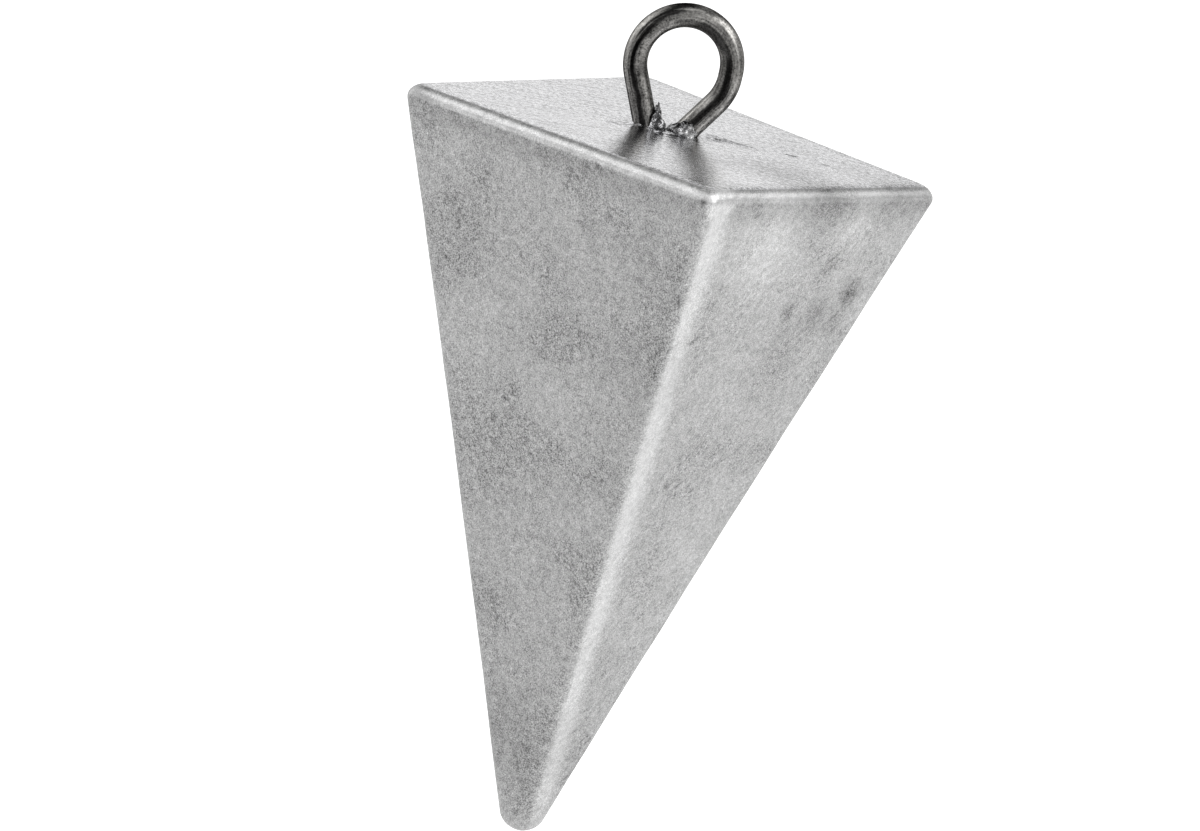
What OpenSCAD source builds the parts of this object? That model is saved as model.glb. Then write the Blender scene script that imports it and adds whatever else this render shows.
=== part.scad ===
// Pyramid surf sinker: a square lead pyramid cast point down round a bent wire eye.
// Millimetres. Z is up, the origin is the centre of the eye and the hole of the eye runs along Y.
// The four corners of the square top lie towards +X, +Y, -X and -Y of the casting's own axis.

/* [Casting] */
// Side of the square top
top_side = 30.2; // [24:0.1:38]
// Depth from the top face to the tip
casting_depth = 58.2; // [46:0.1:72]
// Rounding of the four top corners and of the ridges near them
corner_r = 0.8; // [0.4:0.1:1.6]
// Rounding of the tip
tip_r = 1.85; // [1:0.05:3]

/* [Wire eye] */
// Diameter of the wire
wire_d = 1.9; // [1.4:0.05:2.2]
// How much the wire's radius is drawn down in a bend
bend_thinning = 0.02; // [0.02:0.01:0.05]
// Radius of the loop, along the middle of the wire
loop_r = 3.8; // [3.2:0.05:5]
// Height of the loop's centre above the top face
loop_rise = 5.5; // [5:0.1:8]
// Distance from the loop's centre to the casting's axis, towards +X
casting_offset = 0.65; // [0:0.05:1.5]
// Straight run on the +X side before the loop curls in to its leg
straight_run = 0.43; // [0.2:0.01:1]
// Lean of the -X leg from upright, in degrees
lean_left = 23; // [15:0.5:30]
// Lean of the +X leg from upright, in degrees
lean_right = 34.5; // [20:0.5:36]

/* [Anchor feet] */
// Radius of the bend inside the lead, along the middle of the wire
foot_bend_r = 1.7; // [1.4:0.1:2.4]
// Splay of each foot from upright, in degrees
foot_splay = 35; // [20:1:50]
// Length of the straight part of each foot
foot_length = 6; // [4:0.5:9]

/* [Lead collars] */
// Height to which lead has crept up each leg
collar_rise = 1.2; // [0.5:0.1:2]
// Thickness of a collar at the top face
collar_foot = 0.75; // [0.3:0.05:1.2]
// Thickness of a collar at its upper end
collar_lip = 0.2; // [0.1:0.05:0.5]

/* [Hidden] */
// The top face lies below the origin by the rise of the loop
top_z = -loop_rise;
wire_r = wire_d / 2;
// The wire is a little thinner where it is bent
bent_wire_r = wire_r - bend_thinning;
// A straight stretch overlaps each bend by so little that the bend is still inside it
lap = 2 * bend_thinning;
// A collar starts this far under the top face, inside the lead
collar_root = collar_rise;
// Each corner's rounding is centred this far from the casting's axis
corner_reach = (top_side / 2 - corner_r) * sqrt(2);
lead_colour = [0.70, 0.70, 0.71];
wire_colour = [0.34, 0.34, 0.35];
$fn = 96;

// Length of a leg between the end of the loop and the top face
function leg_length(lean, run) = (loop_rise - run - loop_r * sin(lean)) / cos(lean);

// Distance from the loop's centre line to the place where a leg meets the top face
function leg_entry(lean, run) = loop_r * cos(lean) - leg_length(lean, run) * sin(lean);

// A bend of wire about a point in the plane of the eye, counted up from +X
module wire_bend(bend_r, first, sweep) {
    rotate([90, 0, 0])
        rotate_extrude(angle = sweep, start = first)
            translate([bend_r, 0])
                circle(r = bent_wire_r);
}

// A straight stretch of wire up from the origin, carried on into the bends beyond its ends
module wire_stretch(length, below, above) {
    translate([0, 0, -below])
        cylinder(r = wire_r, h = below + length + above);
}

// A leg with its foot, on the +X side, from the end of the loop down into the lead
module leg_and_foot(lean, run) {
    translate([leg_entry(lean, run), 0, top_z]) {
        rotate([0, lean, 0])
            wire_stretch(leg_length(lean, run), lap, lap);
        translate([foot_bend_r * cos(lean), 0, -foot_bend_r * sin(lean)]) {
            wire_bend(foot_bend_r, 180 - lean, lean + foot_splay);
            translate([-foot_bend_r * cos(foot_splay), 0, -foot_bend_r * sin(foot_splay)])
                rotate([0, 180 - foot_splay, 0])
                    wire_stretch(foot_length, lap, 0);
        }
    }
}

// The whole wire: one length, bent into a loop whose two legs end in splayed feet
module wire_form() {
    wire_bend(loop_r, 0, 180 + lean_left);
    translate([loop_r, 0, -straight_run])
        wire_stretch(straight_run, lap, lap);
    translate([0, 0, -straight_run])
        wire_bend(loop_r, -lean_right, lean_right);
    leg_and_foot(lean_right, straight_run);
    mirror([1, 0, 0])
        leg_and_foot(lean_left, 0);
}

// Lead that crept up one leg while the casting froze
module collar(lean, run) {
    translate([leg_entry(lean, run), 0, top_z])
        rotate([0, lean, 0])
            translate([0, 0, -collar_root])
                cylinder(
                    r1 = wire_r + 2 * collar_foot - collar_lip,
                    r2 = wire_r + collar_lip,
                    h = collar_root + collar_rise
                );
}

// The cast pyramid, point down, with its corners and tip rounded
module pyramid() {
    translate([casting_offset, 0, 0])
        hull() {
            for (turn = [0 : 90 : 270])
                rotate(turn)
                    translate([corner_reach, 0, top_z - corner_r])
                        sphere(r = corner_r, $fn = 32);
            translate([0, 0, top_z - casting_depth + tip_r])
                sphere(r = tip_r, $fn = 32);
        }
}

module lead_body() {
    color(lead_colour)
        difference() {
            union() {
                pyramid();
                collar(lean_right, straight_run);
                mirror([1, 0, 0])
                    collar(lean_left, 0);
            }
            wire_form();
        }
}

module wire_eye() {
    color(wire_colour)
        wire_form();
}

lead_body();
wire_eye();
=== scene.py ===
"""Looks of a pyramid surf sinker: satin cast lead round a bent steel wire eye, over a pale floor."""

import math
from types import SimpleNamespace

import bmesh
import bpy
from bpy.props import FloatProperty, FloatVectorProperty, PointerProperty
from mathutils import Matrix, Vector


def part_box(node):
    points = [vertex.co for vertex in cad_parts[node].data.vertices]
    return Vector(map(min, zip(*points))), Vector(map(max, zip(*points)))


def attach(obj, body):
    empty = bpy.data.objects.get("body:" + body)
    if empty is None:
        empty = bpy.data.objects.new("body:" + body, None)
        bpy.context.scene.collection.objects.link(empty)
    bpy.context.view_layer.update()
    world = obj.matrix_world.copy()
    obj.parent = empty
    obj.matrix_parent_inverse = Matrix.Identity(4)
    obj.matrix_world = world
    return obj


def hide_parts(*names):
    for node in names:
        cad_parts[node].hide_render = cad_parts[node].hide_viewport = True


bl_info = {
    "name": "Pyramid Sinker",
    "version": (1, 0, 0),
    "blender": (4, 5, 0),
    "location": "3D Viewport > Sidebar > Sinker",
    "description": "Dresses a pyramid surf sinker: the lead casting, its wire eye and the studio",
    "category": "Object",
}

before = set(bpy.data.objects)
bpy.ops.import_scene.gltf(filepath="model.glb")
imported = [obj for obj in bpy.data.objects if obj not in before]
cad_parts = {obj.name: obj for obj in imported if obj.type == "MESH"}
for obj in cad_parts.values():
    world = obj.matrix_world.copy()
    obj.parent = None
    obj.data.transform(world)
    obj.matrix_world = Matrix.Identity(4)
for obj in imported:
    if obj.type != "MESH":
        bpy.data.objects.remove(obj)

MM = 0.001
# Places closer together than this count as one
TOUCH = 0.01 * MM
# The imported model's own places
CAST_LOW, CAST_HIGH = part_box("lead_body")
WIRE_LOW, WIRE_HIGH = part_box("wire_eye")
CAST_AXIS = (CAST_LOW.x + CAST_HIGH.x) / 2
CAST_REACH = (CAST_HIGH.x - CAST_LOW.x) / 2
WIRE_RADIUS = (WIRE_HIGH.y - WIRE_LOW.y) / 2
LOOP_RADIUS = WIRE_HIGH.z - WIRE_RADIUS
# A square's diagonal over its side
DIAGONAL = math.sqrt(2)


def mm(*numbers):
    """Numbers in millimetres as metres."""
    return tuple(number * MM for number in numbers)


def clamp(value):
    """The value, kept between 0 and 1."""
    return min(max(value, 0.0), 1.0)


def ease(value, start, end):
    """0 before start, 1 after end, and an even curve between them."""
    along = clamp((value - start) / (end - start))
    return along * along * (3 - 2 * along)


def hump(distance, width):
    """1 at no distance, falling away in a bell of that width."""
    return math.exp(-((distance / width) ** 2))


def size(name, description, default):
    """A length that a user can change, in metres."""
    return FloatProperty(
        name=name, description=description, default=default, unit="LENGTH", precision=5
    )


def angle(name, description, default):
    """An angle that a user can change, given here in degrees."""
    turn = math.radians(default)
    return FloatProperty(name=name, description=description, default=turn, subtype="ANGLE")


def share(name, description, default):
    """A share of 1 that a user can change."""
    return FloatProperty(
        name=name, description=description, default=default, min=0, max=1, subtype="FACTOR"
    )


def colour(name, description, default):
    """A colour that a user can change, as linear red, green and blue."""
    return FloatVectorProperty(
        name=name, description=description, default=default, size=3, min=0, max=1, subtype="COLOR"
    )


class SinkerCastingSizes(bpy.types.PropertyGroup):
    """Sizes of the lead casting."""

    eye_rise: size("Eye rise", "Height of the eye's centre over the square top", 5.5 * MM)
    corner_radius: size("Corner radius", "Rounding of the four top corners, seen from above", 1.0 * MM)
    rim_radius: size("Rim radius", "Rounding of the edges of the square top", 1.05 * MM)
    tip_radius: size("Tip radius", "Rounding of the tip", 1.85 * MM)
    hollow: size("Hollow", "How far the long sides sink half way down", 0.15 * MM)
    waviness: size("Waviness", "How far the cast skin waves in and out", 0.05 * MM)
    back_rise: size("Back rise", "How far the back corner stands over the top's middle", 0.58 * MM)
    front_rise: size("Front rise", "How far the front corner stands over the top's middle", 0.12 * MM)
    right_drop: size("Right drop", "How far the right corner hangs under the top's middle", 0.2 * MM)
    left_spread: size("Left spread", "How far the left corner stands out", 0.1 * MM)
    tip_shift: size("Tip shift", "How far the tip is off the axis, towards +X", 0.1 * MM)
    collar_rise: size("Collar rise", "How far lead crept up the legs of the eye", 1.5 * MM)
    collar_foot: size("Collar foot", "How far the crept lead spreads on the top", 0.3 * MM)
    collar_lip: size("Collar lip", "Thickness of the crept lead at its upper end", 0.2 * MM)
    crumple: size("Crumple", "How far the crept lead is crumpled in and out", 0.4 * MM)
    crease_depth: size("Crease depth", "Depth of the cold creases in the top", 0.18 * MM)


class SinkerWireSizes(bpy.types.PropertyGroup):
    """Sizes of the wire eye."""

    straight_run: size("Straight run", "Straight stretch of the +X side before it curls in", 0.43 * MM)
    lean_left: angle("Left lean", "Lean of the -X leg from upright", 23)
    lean_right: angle("Right lean", "Lean of the +X leg from upright", 34.5)
    foot_bend: size("Foot bend", "Radius of the bends inside the lead", 1.7 * MM)
    foot_splay: angle("Foot splay", "Splay of each foot from upright", 35)
    foot_length: size("Foot length", "Length of the straight part of each foot", 6 * MM)


class SinkerFinish(bpy.types.PropertyGroup):
    """Colours and finish of the two metals."""

    side_lead: colour("Lead sides", "Dull skin of the four cast sides", (0.475, 0.475, 0.475))
    # Partly the top's cleaner skin and partly painted light: the top is painted lighter than the sides
    top_lead: colour("Lead top", "Cleaner skin of the square top", (0.755, 0.755, 0.77))
    # Also the colour of the painted highlight on the front ridge, the rims and the front corner
    worn_lead: colour("Worn lead", "Lead rubbed bright on the edges", (0.69, 0.69, 0.69))
    # Also the colour of the painted shade under the rim
    stain: colour("Stain", "Dark oxide in the dull patches", (0.2, 0.2, 0.2))
    steel: colour("Steel", "Dark drawn wire", (0.24, 0.235, 0.225))
    # Also the colour of the painted dark reflections in bands along the wire
    scale: colour("Scale", "Dark scale on the wire", (0.018, 0.0175, 0.017))
    side_roughness: share("Side roughness", "Roughness of the cast sides", 0.4)
    top_roughness: share("Top roughness", "Roughness of the square top", 0.2)
    steel_roughness: share("Steel roughness", "Roughness of the wire", 0.29)


class Value:
    """A shader socket that takes part in sums: each sum adds its own Math node."""

    def __init__(self, shader, socket):
        self.shader = shader
        self.socket = socket

    def sum(self, operation, first, second):
        return self.shader.node("ShaderNodeMath", {"operation": operation}, {0: first, 1: second})

    def __add__(self, other):
        return self.sum("ADD", self, other)

    def __radd__(self, other):
        return self.sum("ADD", other, self)

    def __sub__(self, other):
        return self.sum("SUBTRACT", self, other)

    def __rsub__(self, other):
        return self.sum("SUBTRACT", other, self)

    def __mul__(self, other):
        return self.sum("MULTIPLY", self, other)

    def __rmul__(self, other):
        return self.sum("MULTIPLY", other, self)

    def __truediv__(self, other):
        return self.sum("DIVIDE", self, other)

    def __abs__(self):
        return self.shader.node("ShaderNodeMath", {"operation": "ABSOLUTE"}, {0: self})

    def least(self, other):
        return self.sum("MINIMUM", self, other)

    def most(self, other):
        return self.sum("MAXIMUM", self, other)

    def sign(self):
        return self.shader.node("ShaderNodeMath", {"operation": "SIGN"}, {0: self})


class Shader:
    """A node tree, and the one way in which nodes are added to it."""

    def __init__(self, owner):
        owner.use_nodes = True
        self.tree = owner.node_tree
        self.tree.nodes.clear()

    def node(self, kind, settings=None, inputs=None, output=0):
        """Adds a node, sets it up, fills or links its sockets and gives one of its outputs."""
        made = self.tree.nodes.new(kind)
        for name, value in (settings or {}).items():
            setattr(made, name, value)
        for name, value in (inputs or {}).items():
            self.feed(made, name, value)
        if isinstance(output, str):
            found = next(s for s in made.outputs if s.name == output and s.enabled)
        else:
            found = [s for s in made.outputs if s.enabled][output] if made.outputs else None
        return Value(self, found)

    def feed(self, made, name, value):
        """Links a value to a socket, or sets the socket to a number or colour."""
        if isinstance(name, int):
            socket = made.inputs[name]
        else:
            socket = next(s for s in made.inputs if s.name == name and s.enabled)
        if isinstance(value, Value):
            self.tree.links.new(value.socket, socket)
        elif socket.type == "RGBA" and len(value) == 3:
            socket.default_value = (*value, 1)
        else:
            socket.default_value = value

    def smooth(self, value, start, end):
        """0 before start, 1 after end, and an even curve between them."""
        inputs = {"Value": value, "From Min": start, "From Max": end}
        return self.node("ShaderNodeMapRange", {"interpolation_type": "SMOOTHSTEP"}, inputs)

    def within(self, value, start, full, fading, end):
        """1 between full and fading, falling to 0 at start and at end."""
        return self.smooth(value, start, full) * (1 - self.smooth(value, fading, end))

    def blend(self, factor, first, second):
        """A colour between two colours."""
        settings = {"data_type": "RGBA", "clamp_factor": True}
        return self.node("ShaderNodeMix", settings, {"Factor": factor, "A": first, "B": second})

    def parts(self, vector):
        """The X, Y and Z of a vector."""
        return [self.node("ShaderNodeSeparateXYZ", None, {"Vector": vector}, axis) for axis in "XYZ"]

    def kept(self, name, output="Vector"):
        """What an attribute of the piece holds."""
        return self.node("ShaderNodeAttribute", {"attribute_name": name}, output=output)

    def vector(self, operation, first, second, output="Vector"):
        """A sum of two vectors or colours, or of one and a number that scales it."""
        second_socket = "Scale" if operation == "SCALE" else 1
        inputs = {0: first, second_socket: second}
        return self.node("ShaderNodeVectorMath", {"operation": operation}, inputs, output)

    def stretch(self, place, scale, offset=(0, 0, 0)):
        """A place scaled along each axis and moved."""
        inputs = {"Vector": place, "Scale": scale, "Location": offset}
        return self.node("ShaderNodeMapping", {"vector_type": "POINT"}, inputs)

    def drawn(self, place, direction, amount):
        """A place squeezed along a unit direction, so that noise on it is drawn out that way."""
        along = self.vector("DOT_PRODUCT", place, direction, "Value")
        return self.vector("SUBTRACT", place, self.vector("SCALE", direction, along * amount))

    def spot(self, place, centre, reach):
        """1 at a centre, falling to 0 at that reach from it."""
        return 1 - self.smooth(self.vector("DISTANCE", place, centre, "Value"), 0, reach)

    def noise(self, place, scale, detail=2.0, roughness=0.5):
        """Soft noise about 0.5, with that many waves for a metre."""
        inputs = {"Vector": place, "Scale": scale, "Detail": detail, "Roughness": roughness}
        return self.node("ShaderNodeTexNoise", None, inputs)

    def bump(self, height, distance, strength=1.0, below=None):
        """Normals for a relief of that height, in metres."""
        inputs = {"Height": height, "Distance": distance, "Strength": strength}
        if below is not None:
            inputs["Normal"] = below
        return self.node("ShaderNodeBump", None, inputs)

    def surface(self, inputs):
        """Ends the tree in one Principled shader."""
        body = self.node("ShaderNodeBsdfPrincipled", None, inputs)
        self.node("ShaderNodeOutputMaterial", None, {"Surface": body})


# Broad patches of the casting, in millimetres from its axis and its top: middle, reach and change of
# level, which is below 0 where the patch is dark
PATCHES = (
    (15.5, -2.85, -9.1, 2.2, -0.5),
    (14.8, -2.7, -11.5, 1.8, -0.3),
    (12.9, -4.8, -10.9, 2.8, -0.3),
    (10.2, -7.7, -10.4, 1.4, -0.4),
    (12.6, -6.5, -6.2, 1.8, -0.2),
    (11.5, -5.5, -13.5, 5.0, -0.12),
    (6.5, -13.5, -4.5, 7.5, 0.3),
    (13.5, -6.6, -3.2, 5.0, 0.24),
    (2.5, -2.0, -50.0, 7.0, -0.06),
    (5.6, -4.2, -34.5, 9.0, 0.08),
    (-17.1, -2.5, -6.0, 6.0, 0.07),
    (-1.6, -14.5, -16.0, 6.5, -0.1),
    (-2.0, -16.5, -6.5, 4.5, -0.1),
    (-5.0, -10.0, -20.0, 6.0, 0.05),
    (-4.0, -2.0, -50.0, 8.0, -0.2),
    (-9.0, -2.5, -39.0, 6.0, -0.08),
    (-14.5, -3.0, -20.0, 8.0, 0.08),
    (17.0, -2.0, 2.5, 7.0, -0.4),
    (8.0, -8.0, 0.0, 8.0, -0.48),
    (10.0, 2.0, 0.0, 7.0, -0.14),
    (-17.0, -1.0, -9.0, 9.0, -0.08),
)


# The front corner, from the casting's axis and its top, where the rubbed edges meet and a pool of painted
# highlight lies
FRONT_CORNER = mm(1.0, -20.2, -1.1)
# Strokes of the mould: their direction, and how far noise is drawn out along it
STROKE_DIRECTION = (0.57, 0.57, 0.59)
STROKE_DRAW = 0.82
# Waves for a metre of the streaks in the top, along X, Y and Z
STREAK_WAVES = (240, 2400, 240)


def lead_zones(shader, place):
    """Where the parts of the casting that differ in finish or carry painted light lie, each from 0 to 1.
    """
    across, deep, up = shader.parts(place)
    # Distance past the front or the back ridge, to the right in front and to the left behind
    past_ridge = across * (0 - deep).sign()

    zones = SimpleNamespace()
    zones.on_top = shader.smooth(up, *mm(-0.12, -0.02))
    zones.on_sides = 1 - zones.on_top
    zones.crept = shader.smooth(up, *mm(0.02, 0.3))
    right = shader.smooth(across, *mm(-2, 2))
    past_left = shader.smooth(across, *mm(-20.4, -18.5))
    # Painted highlight laid over real edge wear: a band just right of the front ridge and left of the back
    # one, the rims, brighter on the left, and a pool at the front corner
    ridge = shader.within(past_ridge, *mm(0.1, 0.8, 1.2, 2.8)) * shader.smooth(up, *mm(-60, -53))
    rim = shader.within(up, *mm(-1.15, -0.8, -0.4, -0.15))
    corner = (shader.spot(place, FRONT_CORNER, 2.5 * MM) * 1.6).least(1) * zones.on_sides
    zones.worn = ridge.most(rim * past_left * (1 - right * 0.4)).most(corner)
    zones.calm = ridge.most(rim)
    # Painted shade along the top's right edges
    near_edge = shader.smooth(abs(across) + abs(deep), *mm(17.8, 20.4))
    zones.right_edges = near_edge * zones.on_top * right
    # Painted shade: a dark band down the sides under the rim
    zones.under_rim = shader.smooth(up, *mm(-3.6, -1.2)) * (1 - rim) * zones.on_sides
    # Painted shade: the left front face and the right back face are darkened
    before_ridge = 1 - shader.smooth(past_ridge, *mm(-0.3, 0.3))
    zones.dull = before_ridge * zones.on_sides * (1 - zones.calm)
    zones.right_leg = shader.smooth(across, *mm(-1.1, -0.5))
    return zones


def lead_noises(shader, place):
    """The noises that vary the finish: each has its waves for a metre, its detail and its roughness."""
    drawn = shader.drawn(place, STROKE_DIRECTION, STROKE_DRAW)
    noises = SimpleNamespace(
        broad=shader.noise(place, 130, 3, 0.55),
        patches=shader.noise(place, 420, 4, 0.6),
        fine=shader.noise(place, 1900, 3, 0.65),
        flecks=shader.noise(place, 3000, 3, 0.6),
        folds=shader.noise(place, 3200, 3, 0.6),
        grain=shader.noise(place, 9000, 2, 0.7),
        strokes=shader.noise(drawn, 1500, 2, 0.6),
        streaks=shader.noise(shader.stretch(place, STREAK_WAVES), 1, 3, 0.65),
    )
    noises.clouds = shader.smooth(noises.broad * 0.6 + noises.patches * 0.4, 0.44, 0.6)
    return noises


def lead_tone(shader, zones, noises):
    """The colour of the skin, of rubbed metal under a painted highlight, and of the stains, with painted
    shade under the rim.
    """
    finish = bpy.context.scene.sinker_finish
    tone = shader.blend(zones.on_top, finish.side_lead, finish.top_lead)
    # Rubbed edges and painted highlight take the bright worn colour
    rubbed = zones.worn * (0.55 + noises.fine * 0.6)
    tone = shader.blend(rubbed, tone, finish.worn_lead)
    specks = shader.smooth(noises.flecks, 0.5, 0.6) * shader.smooth(noises.patches, 0.42, 0.58)
    scratches = shader.smooth(noises.strokes, 0.6, 0.7) * shader.smooth(noises.broad, 0.45, 0.6)
    dirt = noises.clouds * (0.08 + noises.patches * 0.22)
    # Painted shade under the rim
    dirt = dirt + zones.under_rim * (0.1 + noises.patches * 0.4)
    dirt = dirt + specks * (0.25 + noises.clouds) * 0.4 + scratches * 0.5
    dirt = dirt * (1 - zones.worn * 0.85) * zones.on_sides
    streaked = zones.on_top * shader.smooth(noises.streaks, 0.5, 0.64) * 0.48
    return shader.blend(dirt + streaked, tone, finish.stain)


def lead_level(shader, place, legs, zones, noises):
    """How bright the colour is at each place, with 1 for as it is. It holds painted shade along the top's
    right edges, on the left front and right back faces, round the feet of the legs, in the creases and in
    the folds of the crept lead.
    """
    mottle = (noises.grain - 0.5) * (2.2 + noises.clouds * 1.2) + (noises.fine - 0.5) * 0.9
    mottle = mottle + (noises.patches - 0.5) * zones.on_sides * 0.6
    level = 1 + mottle * (1 - zones.calm * 0.5) + (noises.flecks - 0.5) * zones.on_top * 2.8
    level = level + (noises.patches - 0.5) * zones.on_top * 0.3
    # Painted shade along the top's right edges and on the left front and right back faces
    level = level - zones.right_edges * (0.05 + noises.patches * 0.5) - zones.dull * 0.1
    for *centre, reach, change in PATCHES:
        patch = shader.spot(place, mm(*centre), reach * MM)
        level = level + patch * (change * (0.3 + noises.strokes * 1.4))
    # Painted shade on the top round the feet of the legs
    smeared = 0.05 + noises.patches * 0.3 + shader.smooth(noises.streaks, 0.44, 0.56) * 0.8
    for leg, lean in legs:
        foot = (leg.x - CAST_AXIS, leg.y, 0)
        level = level - shader.spot(place, foot, 3.2 * MM) * smeared * zones.on_top
    # Painted shade in the creases
    level = level * (1 - shader.kept("crease", "Fac") * 0.95)
    # Painted shade in the folds of the crept lead, less deep on the right collar
    deep_in_folds = 1 - shader.smooth(noises.folds, 0.5, 0.62)
    darkest = 0.9 - zones.right_leg * 0.45
    return level * (1 - zones.crept * deep_in_folds * darkest)


def lead_material(legs):
    """Satin cast lead: dull mottled sides, a cleaner streaked top, edges rubbed bright under a painted
    highlight, and painted shade in the creases, the folds, round the legs and under the rim.
    """
    finish = bpy.context.scene.sinker_finish
    material = bpy.data.materials.new("satin_lead")
    shader = Shader(material)
    eye_rise = bpy.context.scene.sinker_casting.eye_rise
    place = shader.stretch(shader.kept("mould"), (1, 1, 1), (-CAST_AXIS, 0, eye_rise))
    zones = lead_zones(shader, place)
    noises = lead_noises(shader, place)
    level = lead_level(shader, place, legs, zones, noises)
    tone = shader.vector("SCALE", lead_tone(shader, zones, noises), level)
    rough = finish.side_roughness * zones.on_sides + finish.top_roughness * zones.on_top
    rough = rough - zones.worn * zones.on_sides * 0.08 + (noises.patches - 0.5) * 0.1
    skin = noises.grain * 0.5 + noises.fine + noises.strokes * 0.5
    relief = shader.bump(skin * (1 - zones.on_top * 0.5), 0.06 * MM, 0.6)
    relief = shader.bump(noises.folds * zones.crept, 0.25 * MM, 1.0, relief)
    shader.surface({"Base Color": tone, "Metallic": 1, "Roughness": rough, "Normal": relief})
    return material


# Bands along the wire, in the colour of dark scale and of rubbed steel: painted dark reflections and
# painted highlights. Start and end in millimetres, place at both ends from the inner (-1) to the outer
# side (1) of the loop, half width and strength
DARK_BANDS = (
    (4.0, 16.2, -0.28, -0.28, 0.55, 0.95),
    (15.4, 20.4, -0.4, -0.5, 0.6, 0.8),
    (19.9, 24.0, 1.0, 0.35, 0.6, 1.0),
    (22.8, 36.0, 0.3, 0.24, 0.48, 1.0),
    (11.5, 16.0, -0.85, -0.8, 0.2, 0.6),
)
RUBBED_BANDS = (
    (13.4, 17.6, 0.5, 0.4, 0.6, 0.3),
    (18.0, 21.6, 0.35, 0.25, 0.4, 1.0),
    (22.6, 25.8, 0.9, 0.85, 0.4, 0.8),
    (8.4, 12.2, -0.8, -0.75, 0.3, 0.9),
)
# How far in front of and behind its ends a band fades, in millimetres
BAND_FADE = 0.9
# Specular tint of the wire, which keeps its outline dark
STEEL_EDGE = (0.3, 0.3, 0.3)


def steel_material():
    """Dark drawn wire: tones and draw lines run along it, with painted dark reflections and painted
    highlights in bands along it.
    """
    finish = bpy.context.scene.sinker_finish
    material = bpy.data.materials.new("drawn_steel")
    shader = Shader(material)
    rod = shader.kept("rod")
    lines = shader.noise(shader.stretch(rod, (60, 5200, 5200)), 1, 3, 0.6)
    blotches = shader.noise(shader.stretch(rod, (600, 1400, 1400)), 1, 3, 0.6)
    grain = shader.noise(rod, 7000, 2, 0.6)
    along, _, outward = shader.parts(rod)
    outward = outward / WIRE_RADIUS + (blotches - 0.5) * 0.9 + (lines - 0.5) * 0.9

    def band(start, end, first, last, half, strength):
        """That strength within a band, fading to 0 at its sides and ends."""
        drift = shader.smooth(along, *mm(start, end)) * (last - first) + first
        inside = 1 - shader.smooth(abs(outward - drift), half * 0.2, half)
        ends = mm(start - BAND_FADE, start + BAND_FADE, end - BAND_FADE, end + BAND_FADE)
        return inside * shader.within(along, *ends) * strength

    # Dark blotches of scale, then the painted dark reflections in bands
    dark = shader.smooth(blotches, 0.4, 0.62) * 0.55
    for places in DARK_BANDS:
        dark = dark.most(band(*places))
    tone = shader.blend(dark, finish.steel, finish.scale)
    speckle = 1 + (lines - 0.5) * 2.8 + (grain - 0.5) * 3.2
    # Painted highlights in bands
    for places in RUBBED_BANDS:
        speckle = speckle + band(*places)
    tone = shader.vector("SCALE", tone, speckle)
    rough = finish.steel_roughness + (blotches - 0.5) * 0.04
    relief = shader.bump(lines + grain * 0.3, 0.012 * MM, 0.5)
    inputs = {"Base Color": tone, "Metallic": 1, "Roughness": rough, "Normal": relief}
    inputs["Specular Tint"] = STEEL_EDGE
    shader.surface(inputs)
    return material


# The floor's glow as the camera and as the metal sees it
SEEN_GLOW = (0.6, 0.6, 0.6)
MIRRORED_GLOW = (0.27, 0.27, 0.27)


def floor_material():
    """A pale floor that the camera sees as white where nothing shades it."""
    material = bpy.data.materials.new("pale_floor")
    shader = Shader(material)
    seen = shader.node("ShaderNodeLightPath", output="Is Camera Ray")
    mirrored = shader.node("ShaderNodeLightPath", output="Is Glossy Ray")
    glow = shader.blend(mirrored, (0, 0, 0), MIRRORED_GLOW)
    glow = shader.blend(seen, glow, SEEN_GLOW)
    inputs = {"Base Color": (0.8, 0.8, 0.8), "Roughness": 0.9, "Emission Color": glow}
    inputs["Emission Strength"] = 1
    shader.surface(inputs)
    return material


def card_material(name, tone):
    """Matt card of that tone."""
    material = bpy.data.materials.new(name)
    shader = Shader(material)
    shader.surface({"Base Color": (tone, tone, tone), "Roughness": 0.9})
    return material


def named(name):
    """The object just added, with that name for it and its data."""
    made = bpy.context.active_object
    made.name = name
    made.data.name = name
    return made


def pick(piece, kind, wanted):
    """Selects, in edit mode, the vertices, edges or faces that are wanted and nothing else."""
    bpy.ops.mesh.select_mode(type=kind)
    bpy.ops.mesh.select_all(action="DESELECT")
    mesh = bmesh.from_edit_mesh(piece.data)
    parts = {"VERT": mesh.verts, "EDGE": mesh.edges, "FACE": mesh.faces}[kind]
    for part in parts:
        if wanted(part):
            part.select_set(True)
    mesh.select_flush_mode()
    bmesh.update_edit_mesh(piece.data)


def middle(part):
    """The middle of an edge or face."""
    total = Vector()
    for corner in part.verts:
        total += corner.co
    return total / len(part.verts)


def push(piece, name, strength, weight, direction="NORMAL", texture=None):
    """Moves the surface along a direction by strength times a weight from 0 to 1 at each place."""
    group = piece.vertex_groups.new(name=name)
    for vertex in piece.data.vertices:
        amount = weight(vertex.co)
        if amount > 0:
            group.add([vertex.index], amount, "REPLACE")
    displace = piece.modifiers.new(name, "DISPLACE")
    displace.vertex_group = name
    displace.direction = direction
    displace.strength = strength
    displace.mid_level = 0.0
    if texture is not None:
        displace.texture = texture
        displace.texture_coords = "LOCAL"
        displace.mid_level = 0.5
    bpy.ops.object.modifier_apply(modifier=name)
    piece.vertex_groups.remove(piece.vertex_groups[name])


def clouds(name, scale, depth):
    """Soft noise for moving a surface, with waves of that length."""
    texture = bpy.data.textures.new(name, "CLOUDS")
    texture.noise_scale = scale
    texture.noise_depth = depth
    return texture


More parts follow.
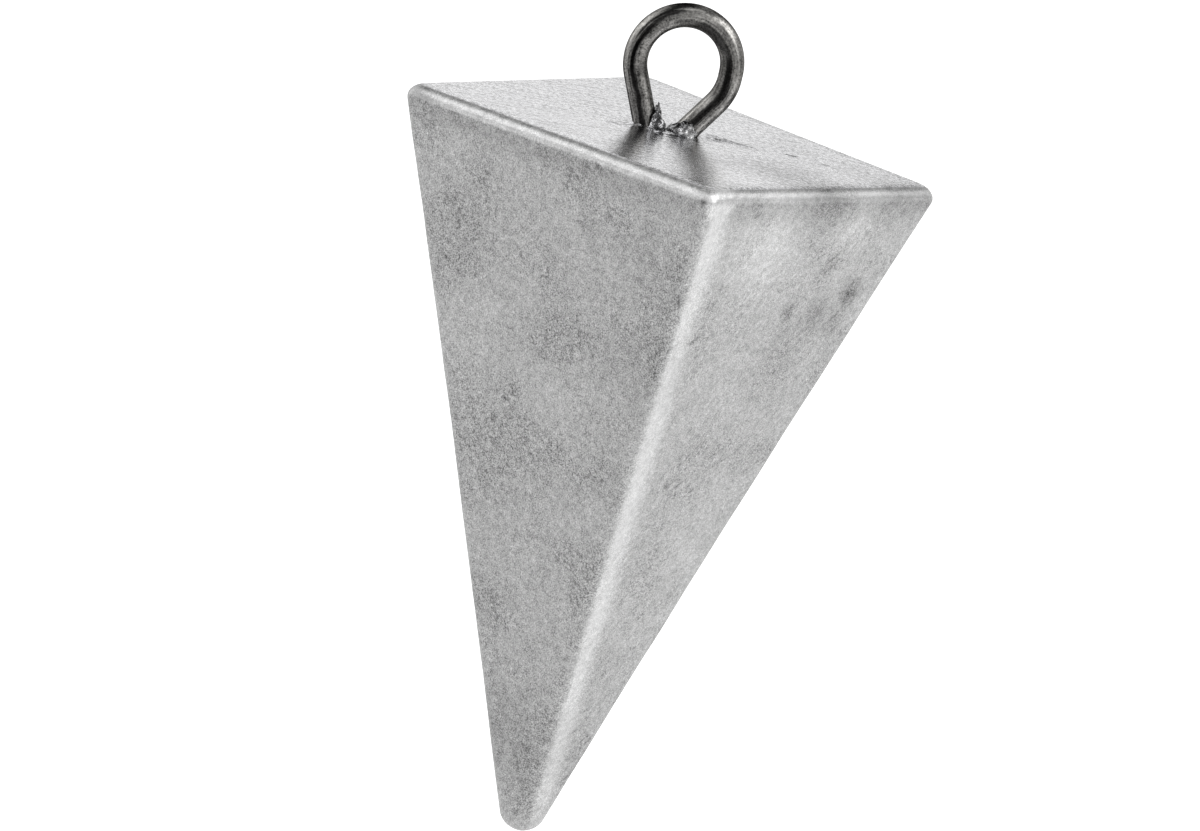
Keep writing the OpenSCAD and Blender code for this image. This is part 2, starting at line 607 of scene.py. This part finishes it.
def remember(piece, name):
    """Keeps the present place of each vertex as an attribute, for the material."""
    kept = piece.data.attributes.new(name, "FLOAT_VECTOR", "POINT")
    for vertex in piece.data.vertices:
        kept.data[vertex.index].vector = vertex.co


def leg_places(context):
    """Where the right and the left leg of the eye enter the top, each with its lean towards +X."""
    wire = context.scene.sinker_wire
    rise = context.scene.sinker_casting.eye_rise
    found = []
    for side, lean, run in ((1, wire.lean_right, wire.straight_run), (-1, wire.lean_left, 0)):
        length = (rise - run - LOOP_RADIUS * math.sin(lean)) / math.cos(lean)
        entry = LOOP_RADIUS * math.cos(lean) - length * math.sin(lean)
        found.append((Vector((side * entry, 0, -rise)), side * lean))
    return found


def finish_piece(piece, material):
    """Smooths a finished piece and ties it to the sinker."""
    bpy.ops.object.shade_smooth()
    piece.data.materials.clear()
    piece.data.materials.append(material)
    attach(piece, "root")


class SINKER_OT_casting(bpy.types.Operator):
    """Models the lead pyramid with its creased top and the lead that crept up the wire"""

    bl_idname = "sinker.casting"
    bl_label = "Lead casting"

    # Steps in each rounded corner, along each flat, down the sides and over the rim and the tip
    CORNER_STEPS = 8
    FLAT_STEPS = 32
    SIDE_ROWS = 79
    RIM_STEPS = 8
    TIP_STEPS = 10
    # Weathering of the top reaches this far under it
    NEAR_TOP = 0.2 * MM
    # Vertices closer together than this are welded
    WELD = 0.0001 * MM
    # The top is divided within each of these distances from the X axis, and again round the legs
    CREASED_REACHES = mm(4.5, 3.4, 2.8)
    CREASED_HALF_LENGTH = 17 * MM
    LEG_REACH = 3 * MM
    # Length of the waves in the cast skin
    WAVE_LENGTH = 7 * MM
    # How far from a leg and how high the top swells
    CREEP_REACH = 0.7 * MM
    CREEP_RISE = 0.4 * MM
    # Half width of a crease, then the distance of its lips from its middle and their half width
    CREASE_WIDTH = 0.11 * MM
    LIP_AWAY = 0.27 * MM
    LIP_WIDTH = 0.12 * MM
    # Height of the waves that froze in front of the right leg
    RIPPLE_RISE = 0.03 * MM

    def execute(self, context):
        self.sizes = context.scene.sinker_casting
        self.legs = leg_places(context)
        self.top = -self.sizes.eye_rise
        self.lay_out()
        piece = self.rough_shape()
        self.refine_top(piece)
        bpy.ops.object.mode_set(mode="OBJECT")
        remember(piece, "mould")
        self.weather(piece)
        self.skew(piece)
        finish_piece(piece, lead_material(self.legs))
        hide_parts("lead_body")
        return {"FINISHED"}

    def lay_out(self):
        """Works out the centres of the two roundings and the taper of the sides between them."""
        sizes = self.sizes
        widest = (CAST_REACH + sizes.corner_radius * (DIAGONAL - 1)) / DIAGONAL
        self.rim_centre = widest - sizes.rim_radius
        self.rim_level = self.top - sizes.rim_radius
        self.tip_level = CAST_LOW.z + sizes.tip_radius
        drop = self.rim_level - self.tip_level
        slant = math.hypot(self.rim_centre, drop)
        spread = math.acos((sizes.tip_radius - sizes.rim_radius) / slant)
        self.taper = spread - math.atan2(drop, self.rim_centre)

    def outline(self, half, level):
        """Adds a square whose corners point along X and Y, as one face."""
        place = (CAST_AXIS, 0, level)
        turned = (0, 0, math.radians(45))
        bpy.ops.mesh.primitive_plane_add(size=2 * half, location=place, rotation=turned)

    def shape_outline(self, piece, corner, level):
        """Rounds the corners of the selected square and divides its flats."""
        bpy.ops.mesh.bevel(offset=corner, segments=self.CORNER_STEPS, profile=0.5, affect="VERTICES")

        def flat(edge):
            place = middle(edge)
            even = abs(abs(place.x - CAST_AXIS) - abs(place.y)) < TOUCH
            return even and abs(place.z - level) < TOUCH

        pick(piece, "EDGE", flat)
        bpy.ops.mesh.subdivide(number_cuts=self.FLAT_STEPS - 1)

    def pull_face(self, piece, level, places):
        """Pulls the face at a level on through rings, each given by its half width and height."""
        old_half, old_level = places[0]
        pick(piece, "FACE", lambda face: abs(middle(face).z - level) < TOUCH)
        for half, height in places[1:]:
            rise = (0, 0, height - old_level)
            bpy.ops.mesh.extrude_region_move(TRANSFORM_OT_translate={"value": rise})
            ratio = half / old_half
            bpy.ops.transform.resize(value=(ratio, ratio, 1), center_override=(CAST_AXIS, 0, height))
            old_half, old_level = half, height

    def rounding(self, centre, level, radius, end, steps):
        """Half widths and levels of rings over a rounding, from the slope of the sides to an end angle."""
        rings = []
        for step in range(steps + 1):
            turn = -self.taper + (end + self.taper) * step / steps
            rings.append((centre + radius * math.cos(turn), level + radius * math.sin(turn)))
        return rings

    def rough_shape(self):
        """The pyramid with its rim and tip rounded and its top filled by a grid."""
        sizes = self.sizes
        level = self.rim_level
        rim = self.rounding(self.rim_centre, level, sizes.rim_radius, math.pi / 2, self.RIM_STEPS)
        half, start = rim[0]
        bpy.ops.object.select_all(action="DESELECT")
        self.outline(half, start)
        piece = named("sinker_casting")
        bpy.ops.object.transform_apply()
        bpy.ops.object.mode_set(mode="EDIT")
        self.shape_outline(piece, sizes.corner_radius, start)
        self.pull_face(piece, start, rim)
        self.fill_top(piece)

        tip = self.rounding(0, self.tip_level, sizes.tip_radius, -math.pi / 2, self.TIP_STEPS)[:-1]
        low_half, low = tip[0]
        self.outline(low_half, low)
        self.shape_outline(piece, low_half * 0.9, low)
        self.pull_face(piece, low, tip)
        last_drop = (0, 0, CAST_LOW.z - tip[-1][1])
        bpy.ops.mesh.extrude_region_move(TRANSFORM_OT_translate={"value": last_drop})
        bpy.ops.mesh.merge(type="COLLAPSE")
        pick(piece, "FACE", lambda face: len(face.verts) > 4)
        bpy.ops.mesh.delete(type="ONLY_FACE")
        pick(piece, "EDGE", lambda edge: edge.is_boundary)
        bpy.ops.mesh.bridge_edge_loops(
            type="SINGLE", number_cuts=self.SIDE_ROWS, interpolation="LINEAR", smoothness=0
        )
        bpy.ops.mesh.select_all(action="SELECT")
        bpy.ops.mesh.remove_doubles(threshold=self.WELD)
        bpy.ops.mesh.normals_make_consistent(inside=False)
        return piece

    def fill_top(self, piece):
        """Swaps the one face of the top for a grid whose corners lie at the casting's corners."""
        bpy.ops.mesh.delete(type="ONLY_FACE")

        def topmost(edge):
            return all(self.on_top(end.co) for end in edge.verts)

        pick(piece, "EDGE", topmost)
        mesh = bmesh.from_edit_mesh(piece.data)
        first = max((v for v in mesh.verts if v.select), key=lambda vertex: vertex.co.x)
        mesh.select_history.clear()
        mesh.select_history.add(first)
        bpy.ops.mesh.fill_grid(span=self.FLAT_STEPS + self.CORNER_STEPS, offset=0)

    def on_top(self, place):
        """Whether a place lies on the flat top, before it is weathered."""
        return place.z > self.top - TOUCH

    def raised(self, place):
        """How far up a place lies, from 0 at the tip to 1 at the top."""
        return clamp((place.z - CAST_LOW.z) / (self.top - CAST_LOW.z))

    def refine_top(self, piece):
        """Divides the top where the creases run, and again round the legs."""
        for reach in self.CREASED_REACHES:

            def creased(face, reach=reach):
                place = middle(face)
                near = abs(place.y) < reach and abs(place.x) < self.CREASED_HALF_LENGTH
                return near and self.on_top(place)

            pick(piece, "FACE", creased)
            bpy.ops.mesh.subdivide(number_cuts=1)

        def near_leg(face):
            place = middle(face)
            near = any((place - leg).length < self.LEG_REACH for leg, lean in self.legs)
            return near and self.on_top(place)

        pick(piece, "FACE", near_leg)
        bpy.ops.mesh.subdivide(number_cuts=1)

    def weather(self, piece):
        """Gives the plain shape its hollow sides, wavy skin, crept lead and creases."""
        sizes = self.sizes

        def down_side(place):
            if self.on_top(place):
                return 0.0
            return math.sin(math.pi * self.raised(place))

        def off_top(place):
            return 1 - ease(place.z, self.top - sizes.rim_radius, self.top - 0.05 * MM)

        push(piece, "hollow", -sizes.hollow, down_side)
        waves = clouds("cast_waves", self.WAVE_LENGTH, 2)
        push(piece, "waves", sizes.waviness * 2, off_top, texture=waves)
        for leg, lean in self.legs:
            self.creep(piece, leg, lean)
        self.crease(piece)

    def creep(self, piece, leg, lean):
        """Swells the top where lead crept up to one leg."""

        def risen(place):
            if place.z < self.top - self.NEAR_TOP:
                return 0.0
            offset = place - leg
            distance = math.hypot(offset.x * math.cos(lean), offset.y) - WIRE_RADIUS
            if distance > self.CREEP_REACH:
                return 0.0
            turn = math.atan2(offset.y, offset.x)
            ragged = 0.75 + 0.25 * math.sin(5 * turn + 1) * math.sin(3 * turn + 2)
            return ragged * (1 - clamp(distance / self.CREEP_REACH)) ** 2

        push(piece, "creep", self.CREEP_RISE, risen, "Z")

    def skew(self, piece):
        """Shifts the corners by the little that this casting is off a true pyramid."""
        sizes = self.sizes

        def toward(along_x, along_y):
            """1 at the top corner in that direction, 0 at the tip and on the far side."""

            def weight(place):
                out = (place.x - CAST_AXIS) * along_x + place.y * along_y
                return clamp(out / CAST_REACH) * self.raised(place)

            return weight

        def by_tip(place):
            return (1 - self.raised(place)) ** 3

        push(piece, "back_rise", sizes.back_rise, toward(0, 1), "Z")
        push(piece, "front_rise", sizes.front_rise, toward(0, -1), "Z")
        push(piece, "right_drop", -sizes.right_drop, toward(1, 0), "Z")
        push(piece, "left_spread", -sizes.left_spread, toward(-1, 0), "X")
        push(piece, "tip_shift", sizes.tip_shift, by_tip, "X")

    # Creases of the top: start and end, in millimetres from the axis, and share of the full depth
    CREASES = (
        ((2.7, 1.7), (4.9, 0.8), 1.2),
        ((2.6, 0.6), (4.7, 0.5), 1.0),
        ((4.8, 0.8), (6.8, 0.4), 0.4),
        ((8.9, 0.6), (9.8, 0.4), 0.4),
        ((11.5, -0.1), (13.1, -1.2), 0.2),
        ((-5.9, -0.6), (-4.0, -0.8), 0.25),
    )

    def crease(self, piece):
        """Presses the cold creases in, each with a lip on both sides."""
        full_depth = self.sizes.crease_depth

        def depth(place, offset, width):
            """How deep the creases are, or how high their lips, at that offset from their middle."""
            if place.z < self.top - self.NEAR_TOP:
                return 0.0
            total = 0.0
            for start, end, share_of_depth in self.CREASES:
                first = Vector(start) * MM
                run = Vector(end) * MM - first
                step = Vector((place.x - CAST_AXIS, place.y)) - first
                along = step.dot(run) / run.length_squared
                if not -0.1 < along < 1.1:
                    continue
                side = (step - run * along).length_squared ** 0.5
                wobble = 0.05 * MM * math.sin(place.x / (0.35 * MM))
                wobble += 0.03 * MM * math.sin(place.x / (0.13 * MM))
                taper = ease(along, -0.1, 0.15) * (1 - ease(along, 0.7, 1.1))
                total += share_of_depth * taper * hump(abs(side + wobble) - offset, width)
            return clamp(total)

        def groove(place):
            return depth(place, 0, self.CREASE_WIDTH)

        def lip(place):
            return depth(place, self.LIP_AWAY, self.LIP_WIDTH)

        right_leg = self.legs[0][0]

        def ripple(place):
            """Waves that froze in front of the right leg."""
            if place.z < self.top - self.NEAR_TOP or place.y > 0:
                return 0.0
            far = (place - right_leg).length
            fade = ease(far, 1.2 * MM, 1.6 * MM) * (1 - ease(far, 3 * MM, 4.2 * MM))
            bend = 0.2 * MM * math.sin(place.x / (0.5 * MM))
            return fade * (0.5 + 0.5 * math.sin((far + bend) / (0.14 * MM)))

        push(piece, "ripple", self.RIPPLE_RISE, ripple, "Z")
        # Kept for the material, which paints shade into the creases
        grooves = piece.data.attributes.new("crease", "FLOAT", "POINT")
        for vertex in piece.data.vertices:
            grooves.data[vertex.index].value = groove(vertex.co)
        push(piece, "groove", -full_depth, groove, "Z")
        push(piece, "lips", full_depth / 2, lip, "Z")


class SINKER_OT_collars(bpy.types.Operator):
    """Models the crumpled sleeves of lead that crept up the two legs of the eye"""

    bl_idname = "sinker.collars"
    bl_label = "Lead collars"

    SIDES = 72
    CUTS = 35
    # Length of a sleeve under the top, inside the casting
    ROOT = 0.6 * MM
    # Length of the folds in the crumpled lead
    FOLD_LENGTH = 0.4 * MM
    # How far the upper end curls away
    CURL = 0.1 * MM
    # Each sleeve: direction of its highest side in degrees from +X, tallness and bulge. The right one
    # is highest in front of its leg and the left one towards the other leg.
    RIGHT_SLEEVE = (262, 0.8, 0.15 * MM)
    LEFT_SLEEVE = (-14, 1.2, 0.38 * MM)

    def execute(self, context):
        self.sizes = context.scene.sinker_casting
        material = bpy.data.objects["sinker_casting"].active_material
        right, left = leg_places(context)
        self.sleeve("sinker_right_collar", *right, *self.RIGHT_SLEEVE, material)
        self.sleeve("sinker_left_collar", *left, *self.LEFT_SLEEVE, material)
        return {"FINISHED"}

    def sleeve(self, name, leg, lean, high_side, tallness, bulge, material):
        """One sleeve, made upright at the origin, crumpled and then set round its leg."""
        sizes = self.sizes
        highest = math.radians(high_side)
        rise = sizes.collar_rise * tallness
        bpy.ops.object.select_all(action="DESELECT")
        bpy.ops.mesh.primitive_cone_add(
            vertices=self.SIDES,
            radius1=WIRE_RADIUS + sizes.collar_foot,
            radius2=WIRE_RADIUS + sizes.collar_lip,
            depth=rise + self.ROOT,
            location=(0, 0, (rise - self.ROOT) / 2),
        )
        piece = named(name)
        bpy.ops.object.transform_apply()
        bpy.ops.object.mode_set(mode="EDIT")
        pick(piece, "EDGE", lambda edge: abs(edge.verts[0].co.z - edge.verts[1].co.z) > self.ROOT)
        bpy.ops.mesh.subdivide(number_cuts=self.CUTS)
        bpy.ops.object.mode_set(mode="OBJECT")

        def facing(place):
            """1 on the highest side, 0 on the side away from it."""
            return 0.5 + 0.5 * math.cos(math.atan2(place.y, place.x) - highest)

        def raised(place):
            """0 at the top of the casting, 1 at the upper end."""
            return clamp(place.z / rise)

        def sunk(place):
            turn = math.atan2(place.y, place.x)
            ragged = 0.8 + 0.2 * math.sin(7 * turn + 1) * math.sin(4 * turn + 2)
            height = min(1.7 * facing(place) ** 4 - 0.15, 1.0) * ragged
            return (1 - height) * raised(place)

        def slimmed(place):
            return 4 * raised(place) * (1 - raised(place))

        def crumpled(place):
            low = 1 - 0.5 * raised(place)
            return (0.3 + 0.7 * facing(place)) * ease(place.z, -self.ROOT, 0.1 * MM) * low

        def bulged(place):
            return facing(place) ** 6 * ease(place.z, -self.ROOT, 0) * (1 - 0.6 * raised(place))

        def curled(place):
            return facing(place) ** 4 * ease(place.z, rise * 0.45, rise)

        push(piece, "slim", -sizes.collar_foot / 4, slimmed)
        push(piece, "bulge", bulge, bulged)
        push(piece, "sink", -rise, sunk, "Z")
        folds = clouds(name, self.FOLD_LENGTH, 3)
        push(piece, "crumple", sizes.crumple, crumpled, texture=folds)
        push(piece, "curl", math.copysign(self.CURL, math.cos(highest)), curled, "X")
        piece.rotation_euler = (0, lean, 0)
        piece.location = leg
        bpy.ops.object.transform_apply()
        remember(piece, "mould")
        finish_piece(piece, material)


class SINKER_OT_wire_eye(bpy.types.Operator):
    """Models the wire as a straight rod and bends it along the path of the eye"""

    bl_idname = "sinker.wire_eye"
    bl_label = "Wire eye"

    SIDES = 48
    # Step between the points of the centre line
    STEP = 0.1 * MM
    # Points of each small arc and of the half circle over the top
    ARC_STEPS = 24
    LOOP_STEPS = 96
    # Cuts along the rod, in two rounds
    ROD_CUTS = (99, 2)
    # Inset of the rod's end faces
    END_INSET = 0.2 * MM

    def execute(self, context):
        path = self.path(context)
        length = sum((b - a).length for a, b in zip(path, path[1:]))
        route = self.route(path)
        rod = self.rod(length)
        self.bend(rod, route)
        finish_piece(rod, steel_material())
        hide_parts("wire_eye")
        return {"FINISHED"}

    def arc(self, centre, radius, first, last, steps):
        """Places after the first along an arc in the plane of the eye, with its angles up from +X."""
        places = []
        for step in range(1, steps + 1):
            turn = first + (last - first) * step / steps
            places.append(centre + Vector((math.cos(turn), 0, math.sin(turn))) * radius)
        return places

    def half_path(self, context, lean, run):
        """One side of the eye from the height of its centre down to the end of its foot, towards +X."""
        sizes = context.scene.sinker_wire
        top = -context.scene.sinker_casting.eye_rise
        places = [Vector((LOOP_RADIUS, 0, 0)), Vector((LOOP_RADIUS, 0, -run))]
        places += self.arc(Vector((0, 0, -run)), LOOP_RADIUS, 0, -lean, self.ARC_STEPS)
        down = Vector((-math.sin(lean), 0, -math.cos(lean)))
        places.append(places[-1] + down * ((places[-1].z - top) / math.cos(lean)))
        entry = places[-1]
        centre = entry + Vector((math.cos(lean), 0, -math.sin(lean))) * sizes.foot_bend
        end = math.pi + sizes.foot_splay
        places += self.arc(centre, sizes.foot_bend, math.pi - lean, end, self.ARC_STEPS)
        out = Vector((math.sin(sizes.foot_splay), 0, -math.cos(sizes.foot_splay)))
        places.append(places[-1] + out * sizes.foot_length)
        return places

    def path(self, context):
        """The whole centre line of the wire, from the +X foot over the loop to the -X foot."""
        sizes = context.scene.sinker_wire
        right = self.half_path(context, sizes.lean_right, sizes.straight_run)
        left = [Vector((-p.x, 0, p.z)) for p in self.half_path(context, sizes.lean_left, 0)]
        over = self.arc(Vector(), LOOP_RADIUS, 0, math.pi, self.LOOP_STEPS)[:-1]
        return self.even(right[::-1] + over + left)

    def even(self, places):
        """The same line with its points an even step apart."""
        reached = [0.0]
        for start, end in zip(places, places[1:]):
            reached.append(reached[-1] + (end - start).length)
        steps = round(reached[-1] / self.STEP)
        spaced = []
        stretch = 0
        for step in range(steps + 1):
            wanted = reached[-1] * step / steps
            while stretch < len(places) - 2 and reached[stretch + 1] < wanted:
                stretch += 1
            along = (wanted - reached[stretch]) / (reached[stretch + 1] - reached[stretch])
            spaced.append(places[stretch].lerp(places[stretch + 1], along))
        return spaced

    def route(self, path):
        """The centre line as a curve that bends the rod."""
        curve = bpy.data.curves.new("eye_route", "CURVE")
        curve.dimensions = "3D"
        spline = curve.splines.new("POLY")
        spline.points.add(len(path) - 1)
        for point, place in zip(spline.points, path):
            point.co = (*place, 1)
        route = bpy.data.objects.new("eye_route", curve)
        bpy.context.scene.collection.objects.link(route)
        return route

    def rod(self, length):
        """A straight rod along X with its start at the origin, divided along its length."""
        bpy.ops.object.select_all(action="DESELECT")
        bpy.ops.mesh.primitive_cylinder_add(
            vertices=self.SIDES,
            radius=WIRE_RADIUS,
            depth=length,
            location=(length / 2, 0, 0),
            rotation=(0, math.radians(90), 0),
        )
        rod = named("sinker_wire_eye")
        bpy.ops.object.transform_apply()
        bpy.ops.object.mode_set(mode="EDIT")

        def lengthwise(edge):
            return abs(edge.verts[0].co.x - edge.verts[1].co.x) > 0.001 * MM

        for cuts in self.ROD_CUTS:
            pick(rod, "EDGE", lengthwise)
            bpy.ops.mesh.subdivide(number_cuts=cuts)
        pick(rod, "FACE", lambda face: len(face.verts) > 4)
        bpy.ops.mesh.inset(thickness=self.END_INSET)
        bpy.ops.object.mode_set(mode="OBJECT")
        remember(rod, "rod")
        return rod

    def bend(self, rod, route):
        """Bends the rod along the route, then drops the route."""
        bend = rod.modifiers.new("bend", "CURVE")
        bend.object = route
        bend.deform_axis = "POS_X"
        bpy.ops.object.modifier_apply(modifier="bend")
        bpy.data.objects.remove(route)


class SINKER_OT_studio(bpy.types.Operator):
    """Sets the pale floor, the soft lamps and the camera"""

    bl_idname = "sinker.studio"
    bl_label = "Studio"

    # The camera's place in metres and its right, up and back directions, as fitted to the photograph
    CAMERA_PLACE = (-0.05866, -0.35259, 0.05786)
    CAMERA_RIGHT = (0.9704, -0.1076, 0.2162)
    CAMERA_UP = (-0.1819, 0.2629, 0.9475)
    CAMERA_LENS = 140.2
    FLOOR_LEVEL = -0.125
    FLOOR_SIZE = 8.0
    # Distance of the cards from the sinker
    CARD_AWAY = 0.3
    # Cards: name, tone, direction clockwise from +Y, level of the middle, width and height. The black
    # one draws the dark lines along the wire, and the grey ones keep the soft boxes out of the top.
    CARDS = (
        ("black_card", 0.02, 216, -0.04, 0.26, 0.17),
        ("left_card", 0.65, 270, 0.075, 0.22, 0.13),
        ("right_card", 0.65, 90, 0.075, 0.22, 0.13),
    )
    # Soft boxes: name, place, width, height and brightness
    BOXES = (
        ("left_box", (-0.42, 0.12, 0.12), 0.42, 0.4, 0.85),
        ("right_box", (0.38, -0.12, 0.28), 0.45, 0.45, 1.85),
    )
    # Dimmed parts of the surroundings: direction clockwise from +Y, elevation, inner and outer angle,
    # and how far they are dimmed
    CEILING = (25, 63, 16, 42, 0.35)
    DARK_FRONT = (211, -20, 26, 44, 0.94)
    SURROUND_LEVEL = 0.9

    def execute(self, context):
        self.floor()
        self.cards()
        self.lamps()
        self.world(context)
        self.camera(context)
        return {"FINISHED"}

    def floor(self):
        """One wide pale floor, below the hanging sinker."""
        bpy.ops.object.select_all(action="DESELECT")
        bpy.ops.mesh.primitive_plane_add(size=self.FLOOR_SIZE, location=(0, 0, self.FLOOR_LEVEL))
        floor = named("floor")
        floor.data.materials.append(floor_material())

    def cards(self):
        """Upright cards round the sinker, which the metal mirrors and the camera doesn't see."""
        for name, tone, azimuth, level, wide, tall in self.CARDS:
            turn = math.radians(azimuth)
            place = (math.sin(turn) * self.CARD_AWAY, math.cos(turn) * self.CARD_AWAY, level)
            upright = (math.radians(90), 0, -turn)
            bpy.ops.object.select_all(action="DESELECT")
            bpy.ops.mesh.primitive_plane_add(size=1, location=place, rotation=upright)
            card = named(name)
            card.scale = (wide, tall, 1)
            card.data.materials.append(card_material(name, tone))
            card.visible_camera = False

    def lamps(self):
        """Soft boxes on the left and the right."""
        middle_of_cast = Vector((CAST_AXIS, 0, CAST_LOW.z / 2))
        for name, place, wide, tall, level in self.BOXES:
            bpy.ops.object.light_add(type="AREA", location=place)
            lamp = named(name)
            lamp.data.shape = "RECTANGLE"
            lamp.data.size = wide
            lamp.data.size_y = tall
            lamp.data.energy = level * math.pi * wide * tall
            aim = middle_of_cast - Vector(place)
            lamp.rotation_euler = aim.to_track_quat("-Z", "Y").to_euler()
            lamp.visible_camera = False

    def world(self, context):
        """White round about, with a dimmer ceiling and a dark front."""
        world = bpy.data.worlds.new("studio")
        context.scene.world = world
        shader = Shader(world)
        direction = shader.node("ShaderNodeTexCoord", output="Generated")

        def dimmed(azimuth, elevation, inner, outer, dimming):
            """1 less the dimming within the inner angle of a direction, 1 beyond the outer one."""
            turn = math.radians(azimuth)
            rise = math.radians(elevation)
            centre = (math.sin(turn) * math.cos(rise), math.cos(turn) * math.cos(rise), math.sin(rise))
            limits = (math.cos(math.radians(outer)), math.cos(math.radians(inner)))
            near = shader.vector("DOT_PRODUCT", direction, centre, "Value")
            return 1 - shader.smooth(near, *limits) * dimming

        level = dimmed(*self.CEILING) * dimmed(*self.DARK_FRONT) * self.SURROUND_LEVEL
        seen = shader.node("ShaderNodeLightPath", output="Is Camera Ray")
        strength = seen + (1 - seen) * level
        light = shader.node("ShaderNodeBackground", None, {"Color": (1, 1, 1), "Strength": strength})
        shader.node("ShaderNodeOutputWorld", None, {"Surface": light})

    def camera(self, context):
        """The photograph's own view."""
        lens = bpy.data.cameras.new("camera")
        lens.sensor_width = 36
        lens.sensor_fit = "HORIZONTAL"
        lens.lens = self.CAMERA_LENS
        lens.clip_start = 0.01
        camera = bpy.data.objects.new("camera", lens)
        context.scene.collection.objects.link(camera)
        right = Vector(self.CAMERA_RIGHT).normalized()
        up = Vector(self.CAMERA_UP).normalized()
        back = right.cross(up)
        turn = Matrix((right, up, back)).transposed()
        camera.matrix_world = Matrix.Translation(self.CAMERA_PLACE) @ turn.to_4x4()
        context.scene.camera = camera
        context.scene.view_settings.view_transform = "Standard"


class SINKER_PT_panel(bpy.types.Panel):
    """The steps of the sinker, in order"""

    bl_idname = "SINKER_PT_panel"
    bl_label = "Pyramid sinker"
    bl_space_type = "VIEW_3D"
    bl_region_type = "UI"
    bl_category = "Sinker"

    def draw(self, context):
        layout = self.layout
        for owner, group in GROUPS.items():
            for name in group.__annotations__:
                layout.prop(getattr(context.scene, owner), name)
        for step in STEPS:
            layout.operator(step.bl_idname)


GROUPS = {
    "sinker_casting": SinkerCastingSizes,
    "sinker_wire": SinkerWireSizes,
    "sinker_finish": SinkerFinish,
}
STEPS = (SINKER_OT_studio, SINKER_OT_casting, SINKER_OT_collars, SINKER_OT_wire_eye)


def register():
    for name, group in GROUPS.items():
        bpy.utils.register_class(group)
        setattr(bpy.types.Scene, name, PointerProperty(type=group))
    for step in STEPS:
        bpy.utils.register_class(step)
    bpy.utils.register_class(SINKER_PT_panel)


def unregister():
    bpy.utils.unregister_class(SINKER_PT_panel)
    for step in reversed(STEPS):
        bpy.utils.unregister_class(step)
    for name, group in reversed(GROUPS.items()):
        delattr(bpy.types.Scene, name)
        bpy.utils.unregister_class(group)


def main():
    """Makes every piece."""
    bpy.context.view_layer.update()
    register()
    bpy.ops.sinker.studio()
    bpy.ops.sinker.casting()
    bpy.ops.sinker.collars()
    bpy.ops.sinker.wire_eye()


if __name__ == "__main__":
    main()
